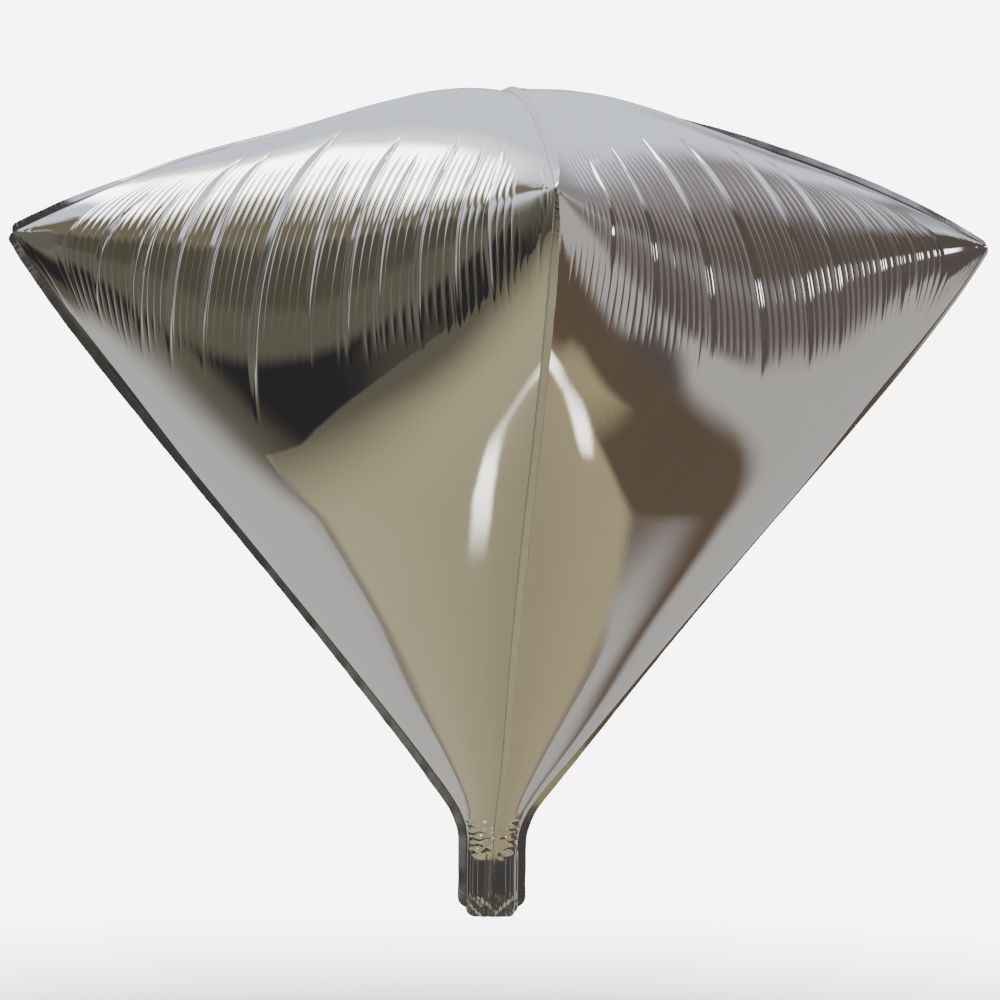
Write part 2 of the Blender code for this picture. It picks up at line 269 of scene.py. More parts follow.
LEFT_STRIP = (
    (-0.263, -0.404, -0.245, -0.445), (-0.228, -0.388, -0.197, -0.423), (-0.199, -0.363, -0.151, -0.376),
    (-0.183, -0.334, -0.109, -0.345), (-0.172, -0.294, -0.074, -0.306), (-0.173, -0.239, -0.060, -0.259),
    (-0.182, -0.196, -0.071, -0.221),
)
RIGHT_STRIP = (
    (0.480, -0.385, 0.561, -0.376), (0.431, -0.372, 0.537, -0.364), (0.379, -0.356, 0.500, -0.346),
    (0.343, -0.327, 0.448, -0.321), (0.325, -0.297, 0.411, -0.292),
)
STRIP_LENGTHWAYS = 28
STRIP_WIDTHWAYS = 6
STRIP_RISE = 0.003

glow = bpy.data.materials.new("light strip")
glow.use_nodes = True
tree = glow.node_tree
tree.nodes.remove(tree.nodes["Principled BSDF"])
strip_place = Wire(tree, tree.nodes.new("ShaderNodeTexCoord").outputs["UV"])
widthways, lengthways, _ = strip_place.parts()
seen = Wire(tree, tree.nodes.new("ShaderNodeLightPath").outputs["Is Camera Ray"])
shine = widthways.between(0.0, 0.30) * (1.0 - widthways.between(0.70, 1.0))
shine = shine * lengthways.between(0.15, 0.60) * (1.0 - lengthways.between(0.70, 1.0)) * (1.0 - seen)
lit = tree.nodes.new("ShaderNodeEmission")
lit.inputs["Color"].default_value = (1.0, 0.98, 0.94, 1.0)
lit.inputs["Strength"].default_value = 3.2
clear = tree.nodes.new("ShaderNodeBsdfTransparent")
faded = shine.node("ShaderNodeMixShader", _0=shine)
tree.links.new(clear.outputs[0], faded.inputs[1])
tree.links.new(lit.outputs[0], faded.inputs[2])
tree.links.new(faded.outputs[0], tree.nodes["Material Output"].inputs["Surface"])

for name, points in (("light_strip_left", LEFT_STRIP), ("light_strip_right", RIGHT_STRIP)):
    bpy.ops.mesh.primitive_grid_add(
        x_subdivisions=STRIP_WIDTHWAYS, y_subdivisions=STRIP_LENGTHWAYS, size=2.0
    )
    strip = bpy.context.object
    strip.name = name
    stops = np.linspace(0.0, 1.0, len(points))
    edges = np.array(points).T
    for vertex in strip.data.vertices:
        over, down = (vertex.co.x + 1.0) / 2.0, (vertex.co.y + 1.0) / 2.0
        x_left, y_left, x_right, y_right = (np.interp(down, stops, edge) for edge in edges)
        x, y = x_left + (x_right - x_left) * over, y_left + (y_right - y_left) * over
        vertex.co = (x, y, FLOOR_HEIGHT + STRIP_RISE)
    strip.data.materials.append(glow)
    strip.select_set(False)


# Film panels: the balloon's skin is four kites of metallised film, each cut flat and run in one piece
# from the crown over the girdle and down the pavilion to its quarter of the tail. Gas stretches them
# lengthwise, and the width that the girdle has no room for goes into fine ripples and deeper creases.
CORNER_RADIUS = 0.2695
CROWN_RISE = 0.079
CROWN_POWER = 1.75
PAVILION_DROP = 0.325
NECK_RADIUS = 0.0115
BELLY_REACH = 0.177
BELLY_RADIUS = 0.142
BELLY_DEPTH = 0.063
GIRDLE_ROW_ANGLE = math.radians(20.5)
SEAM_FLARE_POWER = 2.15
SEAM_BOW = 0.0062
SEAM_BOW_POWER = 4
TAIL_LENGTH = 0.050
TAIL_WIDTH = 0.029
TAIL_DEPTH = 0.0115
TAIL_CORNER = 0.0045
NECK_ROW = -0.965
FUNNEL_BLEND = 0.011
ROUND_NECK_RADIUS = 0.022
ROUND_CONE_RADIUS = 0.045
SIN_45 = math.sqrt(0.5)
SEAM_GAP = 0.0002
CROWN_FILM = 0.207
PAVILION_FILM = 0.364
GIRDLE_FILM = 0.381
RIPPLES = 70
RIPPLE_COLUMNS = np.array([-0.36, -0.22, -0.13, -0.06, 0.0, 0.06, 0.13, 0.22, 0.36, 0.5])
RIPPLE_DEPTH = 0.00024
RIPPLE_TOP = 0.30
RIPPLE_BOTTOM = -0.172
SLACK_DEPTH = 0.00018
DRAWN_DEPTH = 0.00010
LEAN_FRONT = 0.0042
LEAN_CROWN = 0.0034
LEAN_TAIL = 0.0020
LEAN_RIGHT = 0.0030
LEAN_LEFT = 0.0018
LIFT_RIGHT = 0.0018
LIFT_CROWN = 0.0018
DENT_LEFT = 0.0030


def stretch(value, low, high):
    value = np.clip((value - low) / (high - low), 0.0, 1.0)
    return value * value * (3.0 - 2.0 * value)


def belly_point(angle):
    return (
        BELLY_REACH - BELLY_RADIUS + BELLY_RADIUS * np.cos(angle),
        -BELLY_DEPTH + BELLY_RADIUS * np.sin(angle),
    )


def belly_turn(x, z, side):
    """Where on the belly's circle a straight line from (x, z) touches it."""
    dx, dz = x - (BELLY_REACH - BELLY_RADIUS), z + BELLY_DEPTH
    return math.atan2(dz, dx) - side * math.acos(BELLY_RADIUS / math.hypot(dx, dz))


LOWER_TURN = belly_turn(NECK_RADIUS, -PAVILION_DROP, -1)
UPPER_TURN = belly_turn(0.0, CROWN_RISE, 1)


def cone_radius(z):
    x, top = belly_point(LOWER_TURN)
    return NECK_RADIUS + (z + PAVILION_DROP) * (x - NECK_RADIUS) / (top + PAVILION_DROP)


def middle_line(row):
    """The line down a panel's middle: a straight stretch, then an arc of the belly, from both ends."""
    x, z = np.zeros_like(row), np.zeros_like(row)
    for part, start, turn, share in (
        (row <= 0.0, (NECK_RADIUS, -PAVILION_DROP), LOWER_TURN, 1.0 + row),
        (row > 0.0, (0.0, CROWN_RISE), UPPER_TURN, 1.0 - row),
    ):
        touch = belly_point(turn)
        straight = math.dist(start, touch)
        arc = BELLY_RADIUS * abs(GIRDLE_ROW_ANGLE - turn)
        along = share * (straight + arc)
        t = np.clip(along / straight, 0.0, 1.0)
        turned = turn + (GIRDLE_ROW_ANGLE - turn) * np.clip((along - straight) / arc, 0.0, 1.0)
        round_x, round_z = belly_point(turned)
        on_line = along <= straight
        x = np.where(part, np.where(on_line, start[0] + (touch[0] - start[0]) * t, round_x), x)
        z = np.where(part, np.where(on_line, start[1] + (touch[1] - start[1]) * t, round_z), z)
    return x, z


def seam_line(row):
    share = np.clip(1.0 + row, 0.0, 1.0)
    low_z = PAVILION_DROP * np.minimum(row, 0.0)
    flare = (CORNER_RADIUS - cone_radius(0.0)) * share**SEAM_FLARE_POWER
    peak = SEAM_BOW_POWER / (SEAM_BOW_POWER + 1.0)
    bow = SEAM_BOW * share**SEAM_BOW_POWER * (1.0 - share) / (peak**SEAM_BOW_POWER * (1.0 - peak))
    radius = CORNER_RADIUS * (1.0 - np.maximum(row, 0.0))
    crown_z = CROWN_RISE * (1.0 - (radius / CORNER_RADIUS) ** CROWN_POWER)
    return (
        np.where(row <= 0.0, cone_radius(low_z) + flare + bow, radius),
        np.where(row <= 0.0, low_z, crown_z),
    )


def smooth_max(a, b, blend):
    return np.maximum(a, b) + np.maximum(blend - np.abs(a - b), 0.0) ** 2 / (4.0 * blend)


def tail_section(z, share):
    """The flattened tube of the tail at a height, from its front middle to its right edge."""
    cone = cone_radius(z)
    half_width = smooth_max(cone, TAIL_WIDTH / 2.0, FUNNEL_BLEND)
    half_depth = smooth_max(cone, TAIL_DEPTH / 2.0, FUNNEL_BLEND)
    flat = half_width - half_depth
    along = (share + 1.0) / 2.0 * (flat + half_depth * math.pi / 2.0)
    turn = np.maximum(along - flat, 0.0) / half_depth
    x = np.where(along <= flat, along, flat + half_depth * np.sin(turn))
    return np.stack([x, -half_depth * np.cos(turn), z + 0.0 * x], axis=-1)


def film_shape(row, share):
    """The smooth front right panel. Rows from -1 to 1 run from neck to apex, and below -1 down the tail."""
    level = np.clip(row, -1.0, 1.0)
    x_middle, z_middle = middle_line(level)
    x_seam, z_seam = seam_line(level)
    reach = x_seam * SIN_45
    roundness = stretch(-level, 0.0, 0.6)
    turn = math.radians(45.0) * share
    sideways = np.sin(turn) / SIN_45 * roundness + share * (1.0 - roundness)
    hollow = (1.0 - np.cos(turn)) / (1.0 - SIN_45) * roundness + share**2 * (1.0 - roundness)
    x = x_middle + (reach - x_middle) * hollow
    z = z_middle + (z_seam - z_middle) * share**2
    y = reach * sideways
    panel = np.stack([(x + y) * SIN_45, (y - x) * SIN_45, z], axis=-1)
    necking = (ROUND_CONE_RADIUS - cone_radius(z)) / (ROUND_CONE_RADIUS - ROUND_NECK_RADIUS)
    necking = np.where(row < -1.0, 1.0, stretch(necking, 0.0, 1.0))[..., None]
    drop = np.maximum(-1.0 - row, 0.0)
    rounded = TAIL_CORNER * drop**3 * np.clip(share, 0.0, 1.0) ** 1.8
    height = np.where(row < -1.0, -PAVILION_DROP - drop * TAIL_LENGTH, z)
    tail = tail_section(height, share)
    tail[..., 2] += rounded
    return panel * (1.0 - necking) + tail * necking


def settle(shape):
    """The real balloon is a little crooked: corners, crown and tail sit a few millimetres off the true."""
    x, y, z = shape[..., 0], shape[..., 1], shape[..., 2]
    out = np.hypot(x, y)
    crown = (1.0 - stretch(out, 0.0, 0.16)) * stretch(z, 0.0, CROWN_RISE)
    lean = LEAN_FRONT * stretch(-y, 0.08, 0.25) - LEAN_CROWN * crown - LEAN_TAIL * stretch(-z, 0.27, 0.34)
    lean = lean + LEAN_RIGHT * stretch(x, 0.08, 0.22) + LEAN_LEFT * stretch(-x, 0.15, 0.26)
    lift = LIFT_RIGHT * stretch(x, 0.08, 0.24)
    lift = lift + LIFT_CROWN * (1.0 - stretch(out, 0.0, 0.06)) * stretch(z, 0.0, 0.06)
    dent = stretch(-x, 0.01, 0.07) * (1.0 - stretch(-x, 0.12, 0.20)) * stretch(z, 0.01, 0.06)
    return np.stack([x + lean, y, z + GIRDLE_HEIGHT + lift - DENT_LEFT * dent], axis=-1)


def film_share(row, lane):
    """Lanes run straight along the film near the girdle, as its creases do, and gather at both ends."""
    narrow = np.clip(seam_line(np.clip(row, -1.0, 1.0))[0] / CORNER_RADIUS, 0.02, 1.0)
    power = np.clip(0.85 / np.maximum(1.0 - narrow, 1e-6), 1.0, 6.0)
    gathered = (lane - (1.0 - narrow) * np.sign(lane) * np.abs(lane) ** power) / narrow
    return np.where(row < NECK_ROW, lane, gathered)


def valley(across):
    """A crease's cross-section: a sharp floor with rounded shoulders."""
    return np.maximum(1.0 - np.abs(across), 0.0) ** 2


def trough(across):
    """A wider fold's cross-section: a round floor and round shoulders."""
    return 0.5 + 0.5 * np.cos(math.pi * np.clip(across, -1.0, 1.0))


def ripple_phase(lane, seed):
    """Which ripple a lane belongs to, as a number that is whole on each ripple's floor."""
    return (lane + 1.0) / 2.0 * RIPPLES + 0.25 * np.sin(8.0 * lane + seed) + 0.5


def ripples(row, lane, seed):
    """Fine ripples side by side over the girdle, each with its own depth and ends, as a depth in metres."""
    chance = np.random.default_rng(seed)
    count = RIPPLES + 2
    depth = RIPPLE_DEPTH * chance.uniform(0.75, 1.15, count)
    top_end = chance.normal(0.0, 0.014, count)
    bottom_end = chance.normal(0.0, 0.010, count)
    phase = ripple_phase(lane, seed)
    index = np.clip(np.rint(phase).astype(int), 0, count - 1)
    outer = np.abs(lane)
    top = RIPPLE_TOP - 0.08 * outer**2 - 0.30 * stretch(outer, 0.72, 0.94) + top_end[index]
    bottom = RIPPLE_BOTTOM + 0.070 * outer**3 + bottom_end[index]
    ends = (1.0 - stretch(row, top - 0.13, top)) * stretch(row, bottom, bottom + 0.06)
    edges = 1.0 - stretch(outer, 0.90, 0.97)
    away = phase - index
    return depth[index] * ends * edges * (0.3 * trough(2.0 * away) + 0.7 * valley(away / 0.24))


def creases(row, lane, marks):
    """Deeper creases, each given as lane, drift, top, bottom, depth in mm and half width in mm."""
    half = GIRDLE_FILM / 2.0
    total = np.zeros(np.broadcast(row, lane).shape)
    for at, drift, top, bottom, depth, width in marks:
        across = (lane - at - drift * row) * half / (width / 1000.0)
        ends = (1.0 - stretch(row, top - 0.16, top)) * stretch(row, bottom, bottom + 0.13)
        narrow = 0.6 + 0.4 * ends
        fold = 0.45 * valley(across / narrow) + 0.40 * trough(across / narrow) + 0.15 * valley(across / 2.6)
        total = total + depth / 1000.0 * ends * fold
    return total


def corner_gathers(row, lane, seed):
    """Short folds that fan out from the two corners, where the film is pinched between the welds."""
    chance = np.random.default_rng(seed + 100)
    half = GIRDLE_FILM / 2.0
    up = row * np.where(row > 0.0, CROWN_FILM, PAVILION_FILM)
    total = np.zeros(np.broadcast(row, lane).shape)
    for end in (-1.0, 1.0):
        out = (1.0 - lane * end) * half
        away = np.hypot(out, up)
        angle = np.arctan2(up, out)
        at = math.radians(-84.0)
        while at < math.radians(78.0):
            at += math.radians(chance.uniform(8.0, 17.0))
            reach = chance.uniform(0.014, 0.030) + 0.030 * stretch(-at, 0.5, 1.4)
            width = 0.0009 + 0.07 * away
            line = away * (angle - at - 0.1 * np.sin(90.0 * away + at * 20.0)) / width
            ends = stretch(away, 0.001, 0.006) * (1.0 - stretch(away, 0.4 * reach, reach))
            total = total + chance.uniform(0.10, 0.25) * 0.001 * ends * valley(line)
    return total


def slack(row, share, seed):
    """The slow unevenness of thin film under gas, and the drawn lines beside the lower seams."""
    wave = np.sin(9.0 * row + 3.0 * share + seed) * np.sin(5.0 * share - 4.0 * row + 2.0 * seed)
    wave = wave + 0.6 * np.sin(17.0 * row - 6.0 * share + 3.0 * seed) * np.sin(9.0 * share + seed)
    free = (1.0 - np.abs(share) ** 4) * stretch(row, -1.0, -0.8) * (1.0 - stretch(row, 0.75, 1.0))
    lines = np.cos((1.0 - np.abs(share)) * 70.0) * stretch(np.abs(share), 0.84, 0.96)
    drawn = lines * (1.0 - stretch(np.abs(share), 0.985, 1.0)) * (1.0 - stretch(row, -0.12, -0.03))
    drawn = (drawn + 1.0) * stretch(row, -0.24, -0.14)
    return SLACK_DEPTH * (wave + 1.5) * free + DRAWN_DEPTH * drawn * free


def tail_creases(row, share, cross_folds, long_folds, seed):
    """The tail's film is loose: cross folds under the neck, long folds down it and a crumpled end."""
    drop = np.where(row < -1.0, -1.0 - row, -(1.0 + row) * PAVILION_DROP / TAIL_LENGTH)
    total = np.zeros(np.broadcast(row, share).shape)
    for at, tilt, depth, low, high in cross_folds:
        line = drop - at - tilt * share - 0.012 * np.sin(7.0 * share + seed + 40.0 * at)
        span = stretch(share, low - 0.12, low + 0.12) * (1.0 - stretch(share, high - 0.12, high + 0.12))
        total = total + depth * valley(line / 0.034) * span
    for at, lean, depth, width in long_folds:
        line = share - at - lean * (drop - 0.3) + 0.02 * np.sin(9.0 * drop + seed)
        total = total + depth * trough(line / width) * stretch(drop, 0.18, 0.36)
    crumple = np.abs(np.sin(13.0 * share + 9.0 * drop + seed) + 0.6 * np.sin(27.0 * drop - 8.0 * share))
    crumple = crumple + np.abs(np.sin(23.0 * share - 17.0 * drop + seed) * np.sin(31.0 * drop + 5.0 * share))
    total = total + 0.42 * crumple * stretch(drop, 0.70, 0.92)
    return 0.001 * total * (1.0 - np.abs(share) ** 12)


film_rows = np.concatenate([
    np.linspace(-2.0, -1.25, 35)[:-1],
    np.linspace(-1.25, -1.0, 24)[:-1],
    np.linspace(-1.0, NECK_ROW, 20)[:-1],
    np.linspace(NECK_ROW, -0.62, 11)[:-1],
    np.linspace(-0.62, -0.26, 28)[:-1],
    np.linspace(-0.26, 0.40, 82)[:-1],
    np.linspace(0.40, 1.0, 16),
])
ROUNDING = 40
SIDE_ROUNDING = 0.20
FRONT_ROUNDING = 0.45


def film_lanes(seed):
    """The lanes of a panel's columns, ten to a ripple and closest together on its floor."""
    even = np.linspace(-1.0, 1.0, 4001)
    phase = ripple_phase(even, seed)
    marks = (np.arange(RIPPLES + 2)[:, None] + RIPPLE_COLUMNS).ravel()
    marks = marks[(marks > phase[0] + 0.03) & (marks < phase[-1] - 0.03)]
    return np.concatenate([[-1.0], np.interp(marks, phase, even), [1.0]])


def film_panel(name, mirror, marks, tail, seed):
    """Adds a grid, thins out its columns down the tail, and lays it out as one creased panel."""
    rows = len(film_rows) - 1
    lanes = film_lanes(seed)
    columns = len(lanes) - 1
    bpy.ops.mesh.primitive_grid_add(x_subdivisions=columns, y_subdivisions=rows, size=2.0)
    panel = bpy.context.object
    panel.name = name
    mesh = panel.data
    mesh.name = name

    def places():
        flat = np.empty(len(mesh.vertices) * 3)
        mesh.vertices.foreach_get("co", flat)
        flat = flat.reshape(-1, 3)
        column = np.rint((flat[:, 0] + 1.0) / 2.0 * columns).astype(int)
        line = np.rint((flat[:, 1] + 1.0) / 2.0 * rows).astype(int)
        return column, line

    column, line = places()
    neck = int(np.searchsorted(film_rows, NECK_ROW - 0.0001))
    ends = np.empty(len(mesh.edges) * 2, dtype=int)
    mesh.edges.foreach_get("vertices", ends)
    first, second = ends.reshape(-1, 2).T
    upright = column[first] == column[second]
    spare = upright & (column[first] % len(RIPPLE_COLUMNS) != 0) & (column[first] != columns)
    spare &= (line[first] <= neck) & (line[second] <= neck)
    bpy.ops.object.mode_set(mode="EDIT")
    bpy.ops.mesh.select_mode(type="EDGE")
    bpy.ops.mesh.select_all(action="DESELECT")
    bpy.ops.object.mode_set(mode="OBJECT")
    mesh.edges.foreach_set("select", spare)
    bpy.ops.object.mode_set(mode="EDIT")
    bpy.ops.mesh.dissolve_edges(use_verts=True)
    bpy.ops.object.mode_set(mode="OBJECT")

    column, line = places()
    row = film_rows[:, None]
    lane = lanes[None, :]
    share = film_share(row, lane)
    shape = film_shape(row, share)
    reach = np.where(lane > 0.0, SIDE_ROUNDING, FRONT_ROUNDING)
    rounded = stretch((1.0 - np.abs(lane)) / reach, 0.0, 1.0) * stretch(np.abs(lane), 0.3, 0.6)
    rounded = (0.5 * rounded * stretch(row, -0.25, -0.15) * (1.0 - stretch(row, 0.2, 0.36)))[1:-1, :, None]
    for _ in range(ROUNDING):
        shape[1:-1] += rounded * (shape[:-2] + shape[2:] - 2.0 * shape[1:-1])
    along = np.gradient(shape, axis=0)
    across = np.gradient(shape, axis=1)
    normal = np.cross(across, along)
    normal /= np.maximum(np.linalg.norm(normal, axis=-1, keepdims=True), 1e-12)
    depth = ripples(row, lane, seed) + creases(row, lane, marks) + corner_gathers(row, lane, seed)
    depth = depth + slack(row, share, seed) + tail_creases(row, share, *tail, seed)
    shape = shape - normal * depth[..., None]
    shape[..., 0] = (shape[..., 0] + SEAM_GAP) * mirror[0]
    shape[..., 1] = (shape[..., 1] - SEAM_GAP) * mirror[1]
    shape = settle(shape)
    mesh.vertices.foreach_set("co", shape[line, column].ravel())
    mesh.update()
    bpy.ops.object.mode_set(mode="EDIT")
    bpy.ops.mesh.select_all(action="SELECT")
    bpy.ops.mesh.remove_doubles(threshold=1e-6)
    if mirror[0] * mirror[1] < 0:
        bpy.ops.mesh.flip_normals()
    bpy.ops.object.mode_set(mode="OBJECT")
    bpy.ops.object.shade_smooth()
    panel.select_set(False)
    return panel


silver = bpy.data.materials.new("silver film")
silver.use_nodes = True
tree = silver.node_tree
coat = tree.nodes["Principled BSDF"]
coat.inputs["Metallic"].default_value = 1.0
place = Wire(tree, tree.nodes.new("ShaderNodeTexCoord").outputs["Object"])
haze = place.node("ShaderNodeTexNoise", Vector=place, Scale=14.0, Detail=3.0)
haze = Wire(tree, haze.outputs[0])
metal = haze.mix((0.86, 0.86, 0.85, 1.0), (0.80, 0.80, 0.79, 1.0))
tree.links.new(metal.socket, coat.inputs["Base Color"])
tree.links.new((haze * 0.04 + 0.03).socket, coat.inputs["Roughness"])
grain = place.node("ShaderNodeTexNoise", Vector=place, Scale=260.0, Detail=2.0)
fine = place.node("ShaderNodeBump", Strength=0.012, Distance=0.0004, Height=Wire(tree, grain.outputs[0]))
tree.links.new(fine.outputs[0], coat.inputs["Normal"])

FRONT_RIGHT_CREASES = (
    (-0.690, 0.18, 0.25, -0.14, 1.0, 3.2), (-0.497, 0.10, 0.30, -0.16, 1.0, 3.2),
    (-0.255, 0.02, 0.37, -0.18, 1.4, 4.1), (-0.030, 0.00, 0.40, -0.21, 1.5, 3.8),
    (0.195, 0.03, 0.39, -0.19, 1.4, 4.1), (0.345, 0.06, 0.36, -0.18, 1.2, 3.5),
    (0.560, 0.02, 0.26, -0.17, 0.8, 2.8), (0.655, 0.00, 0.24, -0.16, 1.0, 3.2),
    (0.735, 0.00, 0.21, -0.14, 0.7, 2.8), (0.846, 0.00, 0.16, -0.10, 0.7, 2.4),
)
FRONT_LEFT_CREASES = (
    (0.835, 0.00, 0.14, -0.11, 0.7, 2.4), (0.700, -0.35, 0.22, -0.15, 1.0, 3.2),
    (0.555, -0.20, 0.19, -0.15, 0.8, 2.8), (0.515, -0.15, 0.24, -0.19, 0.8, 2.8),
    (0.388, -0.06, 0.33, -0.19, 1.6, 4.3), (0.255, 0.00, 0.34, -0.19, 1.3, 3.5),
    (0.052, -0.05, 0.42, -0.26, 1.6, 4.1), (-0.130, 0.06, 0.28, -0.18, 0.9, 2.8),
    (-0.262, 0.06, 0.35, -0.18, 1.4, 3.5), (-0.372, 0.03, 0.26, -0.17, 0.9, 2.8),
    (-0.500, 0.00, 0.31, -0.18, 1.1, 3.2), (-0.625, 0.00, 0.28, -0.17, 1.0, 3.2),
    (-0.740, 0.12, 0.26, -0.14, 0.9, 3.2),
)


def other_creases(seed):
    """Creases for a panel that the photograph doesn't show."""
    chance = np.random.default_rng(seed)
    marks = []
    lane = -0.84
    while lane < 0.86:
        outer = abs(lane) ** 2.6
        top = 0.38 - 0.26 * outer + chance.uniform(-0.06, 0.04)
        bottom = -0.19 + 0.08 * outer + chance.uniform(-0.04, 0.02)
        depth, width = chance.uniform(0.8, 1.5), chance.uniform(2.7, 4.2)
        marks.append((lane, chance.uniform(-0.08, 0.08), top, bottom, depth, width))
        lane += chance.uniform(0.10, 0.21)
    return marks


# Tail folds: across it as place, tilt, depth in mm and the shares it spans, then down it as share, lean,
# depth in mm and half width as a share.
LEFT_TAIL = (
    ((-0.10, 0.03, 0.45, -0.92, 0.45), (-0.03, -0.02, 0.6, -0.92, 0.35), (0.04, 0.02, 0.7, -0.90, 0.40),
     (0.11, 0.01, 0.7, -0.95, 0.35), (0.18, -0.03, 0.8, -0.90, 0.42), (0.255, 0.02, 0.9, -0.95, 0.50)),
    ((-0.05, -0.10, 1.0, 0.55), (-0.74, 0.00, 1.1, 0.24)),
)
RIGHT_TAIL = (
    ((-0.09, -0.03, 0.4, -0.70, 0.50), (-0.01, 0.04, 0.5, -0.65, 0.45), (0.06, -0.05, 0.5, -0.70, 0.30),
     (0.13, 0.05, 0.55, -0.75, 0.45), (0.22, -0.04, 0.6, -0.70, 0.50), (0.31, 0.03, 0.5, -0.75, 0.40)),
    ((-0.25, 0.08, 0.7, 0.52), (0.62, 0.00, 0.9, 0.28)),
)

for name, node, seams, mirror, marks, tail, seed in (
    ("film_front_right", "panel_front_right", ["seam_right", "seam_front"], (1, 1),
     FRONT_RIGHT_CREASES, RIGHT_TAIL, 3),
    ("film_front_left", "panel_front_left", ["seam_left", "seam_front"], (-1, 1),
     FRONT_LEFT_CREASES, LEFT_TAIL, 5),
    ("film_back_right", "panel_back_right", ["seam_right", "seam_back"], (1, -1),
     other_creases(21), LEFT_TAIL, 7),
    ("film_back_left", "panel_back_left", ["seam_left", "seam_back"], (-1, -1),
     other_creases(22), RIGHT_TAIL, 11),
):
    panel = film_panel(name, mirror, marks, tail, seed)
    panel.data.materials.append(silver)
    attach(panel, "root")
    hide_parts(node)


# Welded seams: where two panels meet, their edges are pressed together and heat-welded into a flat
# flange a few millimetres wide. It stands out down the left, is laid part of the way over down the right,
# lies nearly flat along the front, and crinkles near the corners, where the film is drawn in.
WELD_WIDTH = 0.0045
WELD_ROOT = 0.0004
WELD_FILM = 0.00032
WELD_LANES = 8
CORNER_REACH = 0.036
STATION = 0.0011
CORNER_STATION = 0.00036
FINE_CRINKLE = 0.00017
SLOW_CRINKLE = 0.00012
CORNER_BEND = math.radians(24.0)
FOOT_RADIUS = 0.0058


def weld_shape(share, fold, crinkled, seed):
    """A flange's middle surface: its stations from the tail's foot over the corner to the apex, by lanes."""
    row = np.concatenate([np.linspace(-2.0, -1.0, 60)[:-1], np.linspace(-1.0, 1.0, 1600)])
    line = film_shape(row, np.full_like(row, share))
    inner = film_shape(row, np.full_like(row, share * 0.97))
    length = np.concatenate([[0.0], np.cumsum(np.linalg.norm(np.diff(line, axis=0), axis=1))])
    corner = np.interp(0.0, row, length)
    at = np.concatenate([
        np.arange(0.0, corner - CORNER_REACH, STATION),
        np.arange(corner - CORNER_REACH, corner + CORNER_REACH, CORNER_STATION),
        np.arange(corner + CORNER_REACH, length[-1], STATION),
    ])

    def along(values, place):
        return np.stack([np.interp(place, length, values[:, i]) for i in range(3)], axis=-1)

    root, film = along(line, at), along(inner, at)
    run = along(line, at + 0.002) - along(line, at - 0.002)
    run /= np.linalg.norm(run, axis=1, keepdims=True)
    aside = np.array([0.0, 1.0, 0.0]) if share > 0.0 else np.array([1.0, 0.0, 0.0])
    outward = np.cross(aside, run)
    slope = film - root
    slope -= run * np.sum(slope * run, axis=1, keepdims=True)
    slope /= np.linalg.norm(slope, axis=1, keepdims=True)
    laid = np.arccos(np.clip(np.sum(slope * outward, axis=1), -1.0, 1.0)) - math.radians(10.0)
    where = np.interp(at, length, row)
    stops, shares = np.array(fold).T
    bend = np.interp(where, stops, shares) * laid

    chance = np.random.default_rng(seed)
    from_corner = at - corner
    fine, slow = np.zeros_like(at), np.zeros_like(at)
    for pitch in (0.0021, 0.0026, 0.0033, 0.0045):
        fine += np.sin(2.0 * math.pi * at / pitch + chance.uniform(0.0, 6.3)) * (
            0.35 + 0.65 * np.sin(at * chance.uniform(300.0, 700.0) + chance.uniform(0.0, 6.3)) ** 2
        )
    for pitch in (0.014, 0.023, 0.041):
        slow += np.sin(2.0 * math.pi * at / pitch + chance.uniform(0.0, 6.3))
    crinkle = FINE_CRINKLE * fine * np.exp(-np.abs(from_corner) / 0.012)
    crinkle = crinkle + SLOW_CRINKLE * slow + 0.00002 * fine
    crinkle = crinkle * crinkled
    bend = bend + CORNER_BEND * crinkled * np.sign(from_corner) * np.exp(-np.abs(from_corner) / 0.009)
    width = WELD_WIDTH * (1.0 - 0.75 * np.exp(-((from_corner / 0.0013) ** 2))) + 0.00006 * slow
    width = width * (0.2 + 0.8 * stretch(length[-1] - at, 0.001, 0.013))
    if share < 0.0:
        width = width * (1.0 - 0.45 * np.exp(-((from_corner / 0.010) ** 2)))
        width = width * (0.3 + 0.7 * stretch(where, -1.02, -0.93))
    low = np.clip(FOOT_RADIUS - at, 0.0, FOOT_RADIUS)
    width = np.maximum(width - FOOT_RADIUS + np.sqrt(FOOT_RADIUS**2 - low**2), 0.0002)

    reach = np.linspace(0.0, 1.0, WELD_LANES + 1) ** 1.25
    shape = np.empty((len(at), WELD_LANES + 1, 3))
    place = root - outward * WELD_ROOT
    shape[:, 0] = place
    for lane in range(1, WELD_LANES + 1):
        step = (reach[lane] - reach[lane - 1]) * (width + WELD_ROOT)
        middle = (reach[lane] + reach[lane - 1]) / 2.0
        angle = bend * stretch(middle, 0.02, 0.30)
        level, upright = np.cos(angle)[:, None], np.sin(angle)[:, None]
        place = place + (outward * level + aside * upright) * step[:, None]
        lift = crinkle * reach[lane] ** 1.5
        shape[:, lane] = place + (aside * level - outward * upright) * lift[:, None]
    return shape


